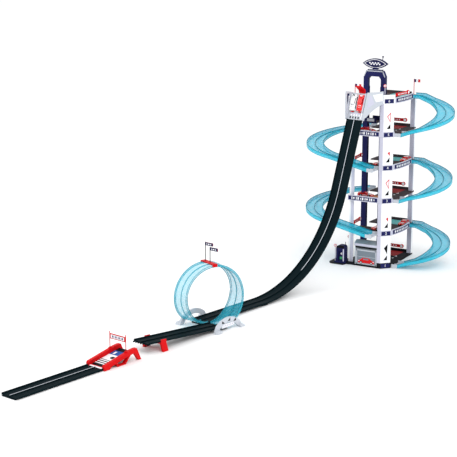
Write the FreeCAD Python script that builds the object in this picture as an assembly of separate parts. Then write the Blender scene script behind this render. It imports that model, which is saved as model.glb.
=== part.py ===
import FreeCAD, Part
import math
import os

# Two-lane gravity race set: a six-level car park tower with see-through side ramps and a lift, a
# start chute at the top, a drop track, a loop, a jump and a landing ramp. Millimetres, +Z up.
# Everything is set out from the tower's front-right corner at floor height, +X towards the back of
# the tower and +Y towards its left side; save() then moves it to the row's origin, the middle of
# the tower's foot. The race track is drawn along -X and turned by TRACK_TURN about that corner.

V = FreeCAD.Vector

# tower
LEVEL = 150.0            # floor to floor
DEPTH, LEFT = 338.0, 178.0
ORIGIN = V(170, 76, 0)
FLOOR = 5.0              # floor plate
KERB = 25.0              # height of the edge strips above the underside
CORNER = [(0, 26), (0, 8), (36, -24), (46, -24)]       # outer line of the front-right corner
CORNER_IN = [(46, -20), (37.6, -20), (4, 9.8), (4, 26)]
POST_LINE = [(0, 26), (0, 8), (36, -24), (38, -24), (38, -20.4), (4, 9.8), (4, 26)]

# see-through ramps: centre x and y of the half circle, centre-line radius, direction, where the slope
# starts and ends; a level piece of the same section joins each end to its floor at its edge
RAMP_WIDE = 80.0
RIGHT_RAMP = dict(cx=182.0, cy=-106.0, r=96.0, way=-1, start=-54.0, end=-54.0)
LEFT_RAMP = dict(cx=118.0, cy=252.0, r=140.0, way=1, start=208.0, end=58.0)
RIGHT_EDGE, LEFT_INNER_EDGE = -24.0, 28.0
RIGHT_TOP_EDGE = -4.0    # where the top of a right-hand ramp meets its floor

# lift
LIFT_X, LIFT_Y = 185.0, 141.0
RAIL_IN, RAIL_OUT = 30.0, 54.0     # from the lift's middle, across
ARCH_IN, ARCH_HIGH = 32.0, 72.0    # half opening and height of the arch on the rails
RAIL_TOP = 800.0
CABIN_Z = 636.0

# race track
TRACK_TURN = 9.5
WIDE = 80.0
WALL, RIB = 2.5, 3.0
RIM = 5.0                # side wall above the road
PLATE = 2.5
ROAD = 10.0              # road height of the track that lies on the floor
LANE = 19.5              # lane centre from track centre
IN_Y, OUT_Y = 58.0, -30.0      # centre lines before and after the loop
STEEP = 70.5             # slope of the drop
TOP = (-151.5, 693.3)    # top of the drop's road
BEND_R = 580.0
LOOP_X, LOOP_R = -1164.0, 120.0
JUMP_X, JUMP_Z = -1590.0, 42.0
LAND_HIGH, LAND_LOW, LAND_END = -1669.0, -1826.0, -2226.0
LAND_ROAD = 5.0          # road height of the last track

# start chute, along its own slope
CHUTE = 118.0
GATE_AT = 34.0
CAR_AT = 39.0            # nose of a waiting car

# cars
CAR_LONG, CAR_WIDE = 70.0, 29.0
WHEEL_R, AXLE_R = 5.5, 1.0
AXLES = (13.0, 54.0)     # from the nose


def box(x0, y0, z0, x1, y1, z1):
    return Part.makeBox(x1 - x0, y1 - y0, z1 - z0, V(x0, y0, z0))


def rod(start, end, r):
    a, b = V(*start), V(*end)
    return Part.makeCylinder(r, (b - a).Length, a, b - a)


def face(path, place):
    """Face inside a closed path. An item is a point, or a pair (point on the arc, end of the arc)."""
    edges, here = [], path[0]
    for item in path[1:] + [path[0]]:
        if isinstance(item[0], tuple):
            edges.append(Part.Arc(place(*here), place(*item[0]), place(*item[1])).toShape())
            here = item[1]
        elif math.dist(here, item) > 1e-6:
            edges.append(Part.makeLine(place(*here), place(*item)))
            here = item
    return Part.Face(Part.Wire(edges))


def flat(path, z0, z1):
    return face(path, lambda x, y: V(x, y, z0)).extrude(V(0, 0, z1 - z0))


def side(path, y0, y1):
    return face(path, lambda x, z: V(x, y0, z)).extrude(V(0, y1 - y0, 0))


def front(path, x0, x1):
    return face(path, lambda y, z: V(x0, y, z)).extrude(V(x1 - x0, 0, 0))


def join(shapes):
    return shapes[0].multiFuse(shapes[1:]).removeSplitter()


def moved(shape, x=0, y=0, z=0):
    shape = shape.copy()
    shape.translate(V(x, y, z))
    return shape


def laid(shape):
    """From the track's own directions to the tower's."""
    shape = shape.copy()
    shape.rotate(V(0, 0, 0), V(0, 0, 1), -TRACK_TURN)
    return shape


def sloped(shape):
    """From the chute's own frame (x up the slope, y across, z out of the road) to the track's."""
    shape = shape.copy()
    shape.rotate(V(0, 0, 0), V(0, 1, 0), -STEEP)
    return moved(shape, TOP[0], IN_Y, TOP[1])


def save(name, shapes):
    shapes = shapes if isinstance(shapes, list) else [shapes]
    solids = [s for shape in shapes for s in shape.Solids]
    whole = solids[0] if len(solids) == 1 else Part.makeCompound(solids)
    whole = whole.copy()
    whole.translate(ORIGIN * -1)
    os.makedirs("parts", exist_ok=True)
    whole.exportStep("parts/%s.step" % name)


def level_z(level):
    return LEVEL * (level - 1)


# ------------------------------------------------------------------ tower floors and posts

BOOM_MID = 37.0          # middle of a boom board above its level
BOOM_LOW, BOOM_HIGH = BOOM_MID - 7, BOOM_MID + 7


def boom_post(x, y, z):
    return join([rod((x, y, z + FLOOR), (x, y, z + BOOM_LOW - 0.3), 3.5),
                 rod((x, y, z + BOOM_LOW - 0.3), (x, y, z + BOOM_HIGH + 1.5), 1.5)])


LIFT_WELL = [(138, LIFT_Y - RAIL_IN, 232, LEFT + 1),
             (LIFT_X - 10, LIFT_Y - RAIL_OUT, LIFT_X + 10, LIFT_Y - RAIL_IN)]
BOOMS = {6: (62, -22), 5: (308, 108), 4: (52, 170), 3: (308, 108), 2: (52, 170), 1: (308, 108)}


BACK_RIGHT = [(335, -1), (DEPTH, 4)]


def floor(level):
    z = level_z(level)
    right_even = [(46, -24), ((142, -34), (236, -26)), (237, RIGHT_TOP_EDGE), (318, RIGHT_TOP_EDGE)]
    right_odd = [(126, -24), (128, -14), (318, RIGHT_TOP_EDGE)]
    even = level % 2 == 0
    outline = [(0, 26), (0, 8), (36, -24)] + (right_even if even else right_odd) + BACK_RIGHT + [(DEPTH, LEFT)]
    outline += [(18, LEFT), (18, 28), (0, 28)] if level in (2, 4) else [(0, LEFT)]
    plate = flat(outline, z, z + FLOOR)
    for x0, y0, x1, y1 in LIFT_WELL:
        plate = plate.cut(box(x0, y0, z - 1, x1, y1, z + FLOOR + 1))
    pieces = [plate, flat(CORNER + CORNER_IN, z + FLOOR, z + (40 if level == 6 else KERB))]
    if even:
        strip = [(46, -24), ((142, -34), (236, -26)), (236, -22), ((142, -30), (46, -20))]
        pieces.append(flat(strip, z + FLOOR, z + KERB))
    if level not in (2, 4):
        pieces.append(box(0, 26, z + FLOOR, 3, LEFT, z + KERB))
    pieces.append(box(DEPTH - 3, 26, z + FLOOR, DEPTH, LEFT, z + 17))
    pieces.append(boom_post(*BOOMS[level], z))
    return join(pieces)


for level in range(2, 7):
    save("floor_level_%d" % level, floor(level))

base = flat([(0, 26), (0, 8), (36, -24), (126, -24), (128, -14), (318, RIGHT_TOP_EDGE)] + BACK_RIGHT
            + [(DEPTH, 200), (80, 200), (80, 240), ((73, 255), (60, 262)), (0, 262), ((-18, 255), (-26, 238)), (-26, 184),
             (0, 178)], 0, FLOOR)
base = join([base, flat(CORNER + CORNER_IN, FLOOR, KERB), boom_post(*BOOMS[1], 0),
             box(DEPTH - 3, 26, FLOOR, DEPTH, 200, 17), box(0, 140, FLOOR, 3, 178, 14)])
save("base_plate", base)

near_post = flat(POST_LINE, KERB, LEVEL)
left_post = join([box(20, 175, FLOOR, 42, 178, LEVEL), box(20, 156, FLOOR, 23, 175, LEVEL)])
right_post = join([box(320, 0, FLOOR, 323, 22, LEVEL), box(323, 0, FLOOR, 334, 3, LEVEL)])
for name, post in (("near_post", near_post), ("left_post", left_post), ("right_post", right_post)):
    save(name + "_sections", [moved(post, z=level_z(i)) for i in range(1, 6)])

# ------------------------------------------------------------------ lift


def about_lift(x0, y0, z0, x1, y1, z1):
    return box(LIFT_X + x0, LIFT_Y + y0, z0, LIFT_X + x1, LIFT_Y + y1, z1)


rail = about_lift(-10, -RAIL_OUT, FLOOR, 10, -RAIL_IN, RAIL_TOP)
rail = rail.cut(about_lift(-7, -RAIL_OUT + 3, FLOOR - 1, 7, -RAIL_IN - 12, RAIL_TOP + 1))     # hollow
rail = rail.cut(about_lift(-5, -RAIL_IN - 8, FLOOR - 1, 5, -RAIL_IN + 1, RAIL_TOP + 1))       # groove
other = rail.mirror(V(0, LIFT_Y, 0), V(0, 1, 0))
save("lift_rails", [rail, other])

arch_top = RAIL_TOP + ARCH_HIGH
outer = [(-RAIL_OUT, 0), (-RAIL_OUT, ARCH_HIGH - 26), (12 - RAIL_OUT, ARCH_HIGH)]
inner = [(ARCH_IN, 0), (ARCH_IN, 34), (ARCH_IN - 10, 46)]
arch = [(LIFT_Y + y, RAIL_TOP + z) for y, z in
        outer + [(-y, z) for y, z in outer[::-1]] + inner + [(-y, z) for y, z in inner[::-1]]]
arch = front(arch, LIFT_X - 10, LIFT_X + 10)
save("lift_arch", arch)

sign_mid = arch_top + 32
lens = front([(LIFT_Y - 62, sign_mid), ((LIFT_Y, sign_mid + 23), (LIFT_Y + 62, sign_mid)),
              ((LIFT_Y, sign_mid - 23), (LIFT_Y - 62, sign_mid))], LIFT_X - 5, LIFT_X + 5)
knob_y = LIFT_Y - 36
save("top_sign", join([lens, about_lift(-9, -35, arch_top, 9, 35, arch_top + 5),
                       about_lift(-6, -13, arch_top + 5, 6, 13, sign_mid - 18),
                       rod((LIFT_X, knob_y + 2, sign_mid + 14), (LIFT_X, knob_y, sign_mid + 30), 1.5),
                       Part.makeSphere(4, V(LIFT_X, knob_y, sign_mid + 32))]))

CABIN_HALF, TAB = 27.0, 10.5
cabin = [about_lift(-40, -CABIN_HALF, CABIN_Z, 40, CABIN_HALF, CABIN_Z + 4)]
cabin += [about_lift(x, -CABIN_HALF, CABIN_Z + 4, x + 2, CABIN_HALF, CABIN_Z + 24) for x in (-40, 38)]
cabin += [about_lift(-4, y, CABIN_Z, 4, y + TAB, CABIN_Z + 20) for y in (-CABIN_HALF - TAB, CABIN_HALF)]
save("lift_cabin", join(cabin))

# ------------------------------------------------------------------ ground floor fittings

walls = [box(6, 28, FLOOR, 96, 31, 92), box(6, 134, FLOOR, 96, 137, 92), box(93, 31, FLOOR, 96, 134, 92),
         box(6, 31, 82, 12, 134, 92)]
walls = join(walls)
pin_z, pin_x = 77.0, 9.0
for y in (27, 133.5):
    walls = walls.cut(rod((pin_x, y, pin_z), (pin_x, y + 4.5, pin_z), 1.56))
save("garage_walls", walls)
save("garage_roof", side([(0, 92), (100, 92), (100, 100), (22, 118), (0, 106)], 26, 139))
door = join([box(7.5, 31.4, 6, 10.5, 133.6, 77), rod((pin_x, 28.6, pin_z), (pin_x, 136.4, pin_z), 1.5),
             rod((pin_x, 31.4, pin_z), (pin_x, 133.6, pin_z), 2.4)])
save("garage_door", door)

station = front([(184, FLOOR), (184, 74), ((190, 84), (200, 86)), (212, 86), ((222, 82), (228, 72)),
                 (228, FLOOR)], -8, 22)
station = station.cut(box(-9, 196, 14, 2, 216, 60))
save("fuel_station", join([station, box(-16, 180, FLOOR, 34, 232, 12)]))


def round_sign(x, y, z, tall):
    return join([rod((x, y, z), (x, y, z + tall), 1.4), rod((x - 1.5, y, z + tall), (x + 1.5, y, z + tall), 7)])


save("road_signs", [round_sign(8, 178 + 62, FLOOR, 74), round_sign(52, 192, FLOOR, 112),
                    round_sign(14, 12, 755, 74)])
flag = join([rod((0, 0, 0), (0, 0, 72), 1.4), box(-0.8, -30, 58, 0.8, 0, 71)])
save("tower_flags", [moved(flag, 30, 166, 755), moved(flag, 329, 12, 755)])

# ------------------------------------------------------------------ see-through ramps


def ramp_section(place):
    """Two lanes between side walls with a centre rib; a is across, b up from the road."""
    w = RAMP_WIDE / 2
    points = [(-w, -5), (-w, 11), (2 - w, 11), (2 - w, 0), (-1, 0), (-1, 5), (1, 5), (1, 0), (w - 2, 0),
              (w - 2, 11), (w, 11), (w, -5), (w - 2, -5), (w - 2, -2.5), (2 - w, -2.5), (2 - w, -5)]
    return [place(a, b) for a, b in points]


def level_piece(x, y0, y1, z):
    points = ramp_section(lambda a, b: V(x + a, y0, z + b))
    return Part.Face(Part.makePolygon(points + points[:1])).extrude(V(0, y1 - y0, 0))


def ramp(high, cx, cy, r, way, start, end):
    """Ramp from one level down to the next: arm, half circle, arm, all at one slope."""
    arm_up, arm_down = abs(cy - start), abs(cy - end)
    fall = LEVEL / (arm_up + math.pi * r + arm_down)
    z_up = level_z(high) + FLOOR
    z_bend, z_end = z_up - fall * arm_up, z_up - LEVEL + fall * arm_down
    pieces = []
    for x, y0, z0, z1 in ((cx + r, start, z_up, z_bend), (cx - r, end, z_up - LEVEL, z_end)):
        points = ramp_section(lambda a, b: V(x + a, y0, z0 + b))
        pieces.append(Part.Face(Part.makePolygon(points + points[:1])).extrude(V(0, cy - y0, z1 - z0)))
    drop = z_bend - z_end
    spine = Part.makeHelix(2 * drop, drop, r, 0, way > 0)
    points = ramp_section(lambda a, b: V(r + a, 0, b))
    shell = Part.BRepOffsetAPI.MakePipeShell(Part.Wire(spine.Edges))
    shell.setBiNormalMode(V(0, 0, 1))
    shell.add(Part.makePolygon(points + points[:1]))
    shell.build()
    shell.makeSolid()
    bend = shell.shape()
    # the helix climbs from +X; the ramp has to climb from -X, its low side
    bend.rotate(V(0, 0, 0), V(0, 0, 1), 180)
    pieces.append(moved(bend, cx, cy, z_end))
    if way < 0:
        pieces.append(level_piece(cx + r, RIGHT_TOP_EDGE - 0.3, start, z_up))
    return join(pieces)


for high in range(6, 1, -1):
    save("ramp_level_%d_to_%d" % (high, high - 1), ramp(high, **(LEFT_RAMP if high % 2 else RIGHT_RAMP)))


stubs = []
for level in range(1, 6):
    z = level_z(level) + FLOOR
    if level % 2:
        stubs.append(level_piece(RIGHT_RAMP["cx"] - RIGHT_RAMP["r"], RIGHT_EDGE, RIGHT_RAMP["end"], z))
    else:
        stubs.append(level_piece(LEFT_RAMP["cx"] - LEFT_RAMP["r"], LEFT_INNER_EDGE, LEFT_RAMP["end"], z))
    if level in (3, 5):
        stubs.append(level_piece(LEFT_RAMP["cx"] + LEFT_RAMP["r"], LEFT, LEFT_RAMP["start"], z))
save("ramp_joining_pieces", stubs)

# ------------------------------------------------------------------ barrier booms


BOOM_SHAPES = {6: (108, -4, 0), 5: (66, -90, 0), 4: (62, 0, 4)}      # length, bearing, lift of the arm


def boom(length, bearing, lift, x, y, z):
    board = box(0, -2.5, BOOM_LOW, length, 2.5, BOOM_HIGH)
    board = board.fuse(rod((length, -3, BOOM_MID), (length, 3, BOOM_MID), 9.5))
    board.rotate(V(0, 0, BOOM_MID), V(0, 1, 0), -lift)
    board = board.common(box(0, -50, BOOM_LOW - 9, 200, 50, BOOM_HIGH + 40))
    bar = join([board, rod((0, 0, BOOM_LOW), (0, 0, BOOM_HIGH), 5)])
    bar = bar.cut(rod((0, 0, BOOM_LOW - 9), (0, 0, BOOM_HIGH + 9), 1.56))
    bar.rotate(V(0, 0, 0), V(0, 0, 1), bearing)
    return moved(bar, x, y, z)


for level, (x, y) in BOOMS.items():
    length, bearing, lift = BOOM_SHAPES[level if level == 6 else 4 + level % 2]
    save("boom_level_%d" % level, boom(length, bearing, lift, x, y, level_z(level)))

# ------------------------------------------------------------------ start chute (own sloped frame)

half = WIDE / 2
LEVER_AT, LEVER_W = 105.0, -13.0
GATE_SLOT = 1.8                    # half of the gate's slot, along the slope
chute_floor = box(0, 3 - half, -3, CHUTE, half - 3, 0)
for y in (-LANE, LANE):
    chute_floor = chute_floor.cut(box(GATE_AT - GATE_SLOT, y - 7.3, -4, GATE_AT + GATE_SLOT, y + 7.3, 1))
cheek = side([(-3, -10), (-3, 14), (50, 34), (100, 52), (112, 52), (118, 18), (118, -10)], half, half + 3)
pin_hole = rod((LEVER_AT, -31, LEVER_W), (LEVER_AT, 31, LEVER_W), 2.06)
chute = [chute_floor, box(GATE_AT + 4, -RIB / 2, 0, CHUTE, RIB / 2, 9),
         join([box(0, -half, -8, CHUTE, 3 - half, 15), box(0, -half - 3, -10, 30, -half, 17)]),
         join([box(0, half - 3, -8, CHUTE, half, 15), cheek])]
chute += [box(LEVER_AT - 7, y, -19, LEVER_AT + 7, y + 3, -3).cut(pin_hole) for y in (-30, 27)]
save("launch_chute", [laid(sloped(piece)) for piece in chute])

blade = GATE_SLOT - 0.3
gate = join([box(GATE_AT - blade, y - 7, -7, GATE_AT + blade, y + 7, 7) for y in (-LANE, LANE)]
            + [box(GATE_AT - blade, -LANE - 7, -12, GATE_AT + blade, LANE + 7, -7)])
save("launch_gate", laid(sloped(gate)))

lever = join([rod((105, -26.6, -13), (105, 26.6, -13), 2), rod((105, -22, -13), (105, 22, -13), 5),
              side([(103, -16), (126, -14), ((136, -10), (140, 4)), (146, 22), (141, 24), (134, 6),
                    ((131, -4), (122, -9)), (103, -10)], -16, 16)])
save("launch_lever", laid(sloped(lever)))

deck = box(-128, IN_Y - 34, 744, 30, IN_Y + 34, 756).cut(box(-200, IN_Y - 30, 740, 40, IN_Y + 30, 752))
deck = laid(deck).cut(box(0, -200, 700, 300, 300, 900))
blank = laid(sloped(box(-20, -60, -300, 200, 60, -8)))
deck = deck.common(blank).cut(laid(sloped(join(chute + [lever]))))
deck = deck.cut(laid(sloped(rod((105, -32, -13), (105, 32, -13), 22))))
save("launch_deck", max(deck.Solids, key=lambda s: s.Volume))

y0 = IN_Y - half - 6.2
bracket = side([(-158, 700), (-122, 812), (-30, 806), (20, 806), (20, 752), ((-55, 738), (-132, 704))], y0, y0 + 3)
bracket = laid(bracket).cut(box(0, -200, 600, 300, 300, 900))
save("launch_bracket", bracket)

# ------------------------------------------------------------------ drop track and run-in

sin_s, cos_s = math.sin(math.radians(STEEP)), math.cos(math.radians(STEEP))
bend_z = ROAD + BEND_R * (1 - cos_s)
bend_x = TOP[0] - (TOP[1] - bend_z) * cos_s / sin_s
centre = (bend_x - BEND_R * sin_s, ROAD + BEND_R)
half_way = math.radians(STEEP / 2)


def strip_line(low, high):
    """Side view of the straight part, from low to high above the road."""
    top = [(TOP[0] - sin_s * h, TOP[1] + cos_s * h) for h in (low, high)]
    foot = [(bend_x - sin_s * h, bend_z + cos_s * h) for h in (high, low)]
    return top + foot


def on_bend(angle, h):
    return (centre[0] + (BEND_R - h) * math.sin(angle), centre[1] - (BEND_R - h) * math.cos(angle))


def strip_bend(low, high):
    full = math.radians(STEEP)
    return [on_bend(full, low), (on_bend(half_way, low), on_bend(0, low)), on_bend(0, high),
            (on_bend(half_way, high), on_bend(full, high))]


def two_lane(strip):
    w = WIDE / 2
    return join([side(strip(-PLATE, 0), -w, w), side(strip(-PLATE, RIM), -w, WALL - w),
                 side(strip(-PLATE, RIM), w - WALL, w), side(strip(0, RIM - 1), -RIB / 2, RIB / 2)])


save("drop_track_upper", laid(moved(two_lane(strip_line), y=IN_Y)))
save("drop_track_lower", laid(moved(two_lane(strip_bend), y=IN_Y)))


def level_strip(x0, z0, x1, z1):
    return lambda low, high: [(x0, z0 + low), (x0, z0 + high), (x1, z1 + high), (x1, z1 + low)]


run_in = level_strip(centre[0], ROAD, LOOP_X, ROAD)
save("run_in_track", laid(moved(two_lane(run_in), y=IN_Y)))
joiner = box(-16, -34, 0, 16, 34, ROAD - PLATE)
save("track_joining_plates", [laid(moved(joiner, x, y)) for x, y in
                              ((centre[0], IN_Y), (LOOP_X, IN_Y), (LOOP_X, OUT_Y))])

# ------------------------------------------------------------------ loop


LOOP_YAW = 16.0          # the ring is turned this much at its top, and not at all at its foot
LOOP_SWAY = 15.0         # extra sideways swing of the rising and falling halves
LOOP_RIM = 6.0
MID_Y = (IN_Y + OUT_Y) / 2


def loop_section(turn):
    """Track section part-way round the loop; turn 0 and 360 are its two feet."""
    t = math.radians(turn)
    sway = 1 - math.cos(t / 2) ** 4
    yaw = math.radians(LOOP_YAW) * sway
    middle = V(LOOP_X - LOOP_R * math.sin(t),
               MID_Y + (IN_Y - OUT_Y) / 2 * math.cos(t / 2) + LOOP_SWAY * math.sin(t) * sway,
               ROAD + LOOP_R * (1 - math.cos(t)))
    across = V(math.sin(yaw), math.cos(yaw), 0)
    inward = V(math.sin(t) * math.cos(yaw), -math.sin(t) * math.sin(yaw), math.cos(t))
    w = WIDE / 2
    outline = [(-w, -PLATE), (-w, LOOP_RIM), (WALL - w, LOOP_RIM), (WALL - w, 0), (-1, 0), (-1, 4), (1, 4),
               (1, 0), (w - WALL, 0), (w - WALL, LOOP_RIM), (w, LOOP_RIM), (w, -PLATE)]
    points = [middle + across * b + inward * a for b, a in outline]
    return Part.makePolygon(points + points[:1])


for name, start in (("loop_rising_half", 0), ("loop_falling_half", 180)):
    sections = [loop_section(start + 15 * i) for i in range(13)]
    save(name, laid(Part.makeLoft(sections, True, False)))

loop_top = ROAD + 2 * LOOP_R + PLATE
clip_half = WIDE / 2 + 1.5
POLES = ((26, 332), (-8, 318))      # place along the clip and top of each flag pole
FLAG_LONG = 40.0
clip = join([box(-11, -clip_half - 2.5, loop_top + 0.6, 11, clip_half + 2.5, loop_top + 4)]
            + [box(-11, y, loop_top - 7, 11, y + 2.5, loop_top + 4) for y in (-clip_half - 2.5, clip_half)]
            + [rod((0, y, loop_top + 3), (0, y, top), 1.4) for y, top in POLES])
clip.rotate(V(0, 0, 0), V(0, 0, 1), -LOOP_YAW)
flags = []
for along, top in POLES:
    x, y = along * math.sin(math.radians(LOOP_YAW)), along * math.cos(math.radians(LOOP_YAW))
    flags.append(box(x - 0.8, y - FLAG_LONG, top - 13, x + 0.8, y, top - 1))
save("loop_top_clip", laid(moved(join([clip] + flags), LOOP_X, MID_Y)))


def loop_stand(way, y):
    """Arched stand with splayed feet beside the foot of the loop."""
    arch = side([(-82, 0), (-66, 26), ((0, 50), (66, 26)), (82, 0), (58, 0), (48, 14), ((0, 30), (-48, 14)),
                 (-58, 0)], 0, 8)
    feet = [side([(s * 82, 0), (s * 76, 9), (s * 52, 9), (s * 58, 0)], 8, 24) for s in (-1, 1)]
    stand = join([arch] + feet)
    if way < 0:
        stand = stand.mirror(V(0, 0, 0), V(0, 1, 0))
    return laid(moved(stand, LOOP_X + 6, y))


save("loop_stand_near", loop_stand(-1, OUT_Y - WIDE / 2 - 3))
save("loop_stand_far", loop_stand(1, IN_Y + WIDE / 2 + 3))

# ------------------------------------------------------------------ jump

jump = two_lane(level_strip(LOOP_X, ROAD, JUMP_X, JUMP_Z))
teeth = [rod((JUMP_X - 6, y, JUMP_Z - 3.5), (JUMP_X + 8, y, JUMP_Z - 3.5), 3) for y in range(-36, 37, 12)]
save("jump_track", laid(moved(join([jump] + teeth), y=OUT_Y)))

PROP_BACK, PROP_FRONT = -1502.0, -1530.0
FOOT_OUT = 14.0          # how far each foot stands out from the track
rise = (JUMP_Z - ROAD) / (LOOP_X - JUMP_X)


def under_jump(x):
    return ROAD + (LOOP_X - x) * rise - PLATE


def prop_slice(y0, y1, low, high):
    """Slice between two heights measured from the jump track's underside."""
    a, b = PROP_FRONT, PROP_BACK
    return side([(a, under_jump(a) + low), (a, under_jump(a) + high), (b, under_jump(b) + high),
                 (b, under_jump(b) + low)], y0, y1)


prop = [prop_slice(-half - 3.3, half + 3.3, -7, 0)]
for s in (-1, 1):
    edge, foot = s * (half + 0.3), s * (half + FOOT_OUT)
    prop.append(prop_slice(min(edge, edge + 3 * s), max(edge, edge + 3 * s), -7, PLATE + RIM + 3))
    prop.append(front([(edge - 5 * s, under_jump(PROP_BACK) - 3), (edge + 3 * s, under_jump(PROP_BACK) - 3),
                       (foot, 0), (foot - 9 * s, 0)], PROP_FRONT, PROP_BACK))
save("jump_support", laid(moved(join(prop), y=OUT_Y)))

# ------------------------------------------------------------------ landing ramp, gate and track

RAIL_INNER, RAIL_OUTER = 34.0, 47.0        # the side rails, from the middle of the deck
DECK_HIGH, DECK_LOW = 33.0, 5.0


def deck_z(x):
    return DECK_LOW + (x - LAND_LOW) / (LAND_HIGH - LAND_LOW) * (DECK_HIGH - DECK_LOW)


def rail_side(y0):
    """Side rail with a foot at its low end, a brace in the middle and a splayed leg at its high end."""
    plate = side([(LAND_LOW, 0), (LAND_LOW, 14), ((LAND_LOW + 3, 19), (LAND_LOW + 10, 21)), (-1720, 40),
                  ((-1692, 46), (-1672, 48)), (-1662, 47), (-1640, 0), (-1653, 0), (-1674, 31),
                  (-1700, 27), (-1790, 9), (-1800, 0)], y0, y0 + RAIL_OUTER - RAIL_INNER)
    brace = side([(-1692, 30), (-1700, 30), (-1724, 5), (-1756, 5), (-1762, 17), (-1768, 16), (-1761, 0),
                  (-1720, 0)], y0, y0 + RAIL_OUTER - RAIL_INNER)
    ledge_y = -RAIL_INNER if y0 < 0 else RAIL_INNER - 5
    high_x, low_x = LAND_HIGH - 8, LAND_LOW + 12
    ledge = side([(low_x, deck_z(low_x) - PLATE - 2), (low_x, deck_z(low_x) - PLATE),
                  (high_x, deck_z(high_x) - PLATE), (high_x, deck_z(high_x) - PLATE - 2)],
                 ledge_y, ledge_y + 5)
    return join([plate, brace, ledge])


save("landing_rail_near", laid(moved(rail_side(-RAIL_OUTER), y=OUT_Y)))
save("landing_rail_far", laid(moved(rail_side(RAIL_INNER), y=OUT_Y)))

deck_strip = level_strip(LAND_HIGH, DECK_HIGH, LAND_LOW, DECK_LOW)
landing_deck = side(deck_strip(-PLATE, 0), -RAIL_INNER, RAIL_INNER)
lip = box(LAND_HIGH - 3, -RAIL_INNER, DECK_HIGH - 9, LAND_HIGH, RAIL_INNER, DECK_HIGH - 1)
save("landing_deck", laid(moved(join([landing_deck, lip]), y=OUT_Y)))

GATE_X, GATE_TOP = -1712.0, 106.0
gate_foot = 41.2
post_y = (RAIL_INNER + RAIL_OUTER) / 2
gate_parts = [rod((GATE_X, y, gate_foot), (GATE_X, y, GATE_TOP), 1.5) for y in (-post_y, post_y)]
gate_parts += [box(GATE_X - 5, y - 3.4, gate_foot, GATE_X + 5, y + 3.4, 46) for y in (-post_y, post_y)]
gate_parts += [box(GATE_X - 1.5, -post_y, 79, GATE_X + 1.5, post_y, 98)]
rails = [rail_side(-RAIL_OUTER), rail_side(RAIL_INNER)]
save("finish_gate", laid(moved(join(gate_parts).cut(rails[0]).cut(rails[1]), y=OUT_Y)))

landing = two_lane(level_strip(LAND_LOW - 0.4, LAND_ROAD, LAND_END, LAND_ROAD))
feet = [box(LAND_LOW - 12 - step, -34, 0, LAND_LOW - 4 - step, 34, LAND_ROAD - PLATE) for step in range(0, 400, 98)]
save("landing_track", laid(moved(join([landing] + feet), y=OUT_Y)))

# ------------------------------------------------------------------ cars (own frame, nose at x = 0)

axle_h = WHEEL_R + 0.3


def car_body(cabin_top):
    half_car = CAR_WIDE / 2
    shell = side([(0, 4), ((-0.5, 8), (4, 10.5)), ((15, 13), (25, 13.6)), (66, 15), (CAR_LONG, 14),
                  ((CAR_LONG + 0.6, 9), (CAR_LONG - 1, 4))], -half_car, half_car)
    cabin_shape = side([(24, 12), ((31, cabin_top - 1), (38, cabin_top)), (50, cabin_top - 0.5), (61, 14)],
                       3.5 - half_car, half_car - 3.5)
    wing = box(63, -half_car + 1, 13, 69, half_car - 1, 17.5)
    body = join([shell, cabin_shape, wing])
    for x in AXLES:
        for s in (-1, 1):
            y = s * (half_car - 6)
            body = body.cut(rod((x, y, axle_h), (x, s * (half_car + 1), axle_h), WHEEL_R + 1.2))
        body = body.cut(rod((x, -half_car, axle_h), (x, half_car, axle_h), AXLE_R + 0.06))
    return body


def car_axle(x):
    half_car = CAR_WIDE / 2
    pieces = [rod((x, 1 - half_car, axle_h), (x, half_car - 1, axle_h), AXLE_R)]
    for y0, y1 in ((-half_car + 0.5, -half_car + 5.5), (half_car - 5.5, half_car - 0.5)):
        pieces.append(rod((x, y0, axle_h), (x, y1, axle_h), WHEEL_R))
    return join(pieces)


for name, lane, top in (("red_car", -LANE, 21.0), ("white_car", LANE, 20.0)):
    for part, shape in (("body", car_body(top)), ("front_axle", car_axle(AXLES[0])),
                        ("rear_axle", car_axle(AXLES[1]))):
        save("%s_%s" % (name, part), laid(sloped(moved(shape, CAR_AT, lane))))

parked = join([car_body(20.0)] + [car_axle(x).common(box(x - 9, -20, 0.3, x + 9, 20, 12)) for x in AXLES])
spots = [(5, 95, 98, 90), (3, 95, 98, 90), (4, 78, 86, -35), (2, 78, 86, -35), (4, 222, 10, 4), (2, 222, 10, 4),
         (6, 62, 18, 60)]
parked_cars = []
for level, x, y, turn in spots:
    car = moved(parked, z=-0.3)
    car.rotate(V(0, 0, 0), V(0, 0, 1), turn)
    parked_cars.append(moved(car, x, y, level_z(level) + FLOOR))
save("parked_cars", parked_cars)
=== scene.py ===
import math

import bmesh
import bpy
from mathutils import Matrix, Vector


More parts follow.
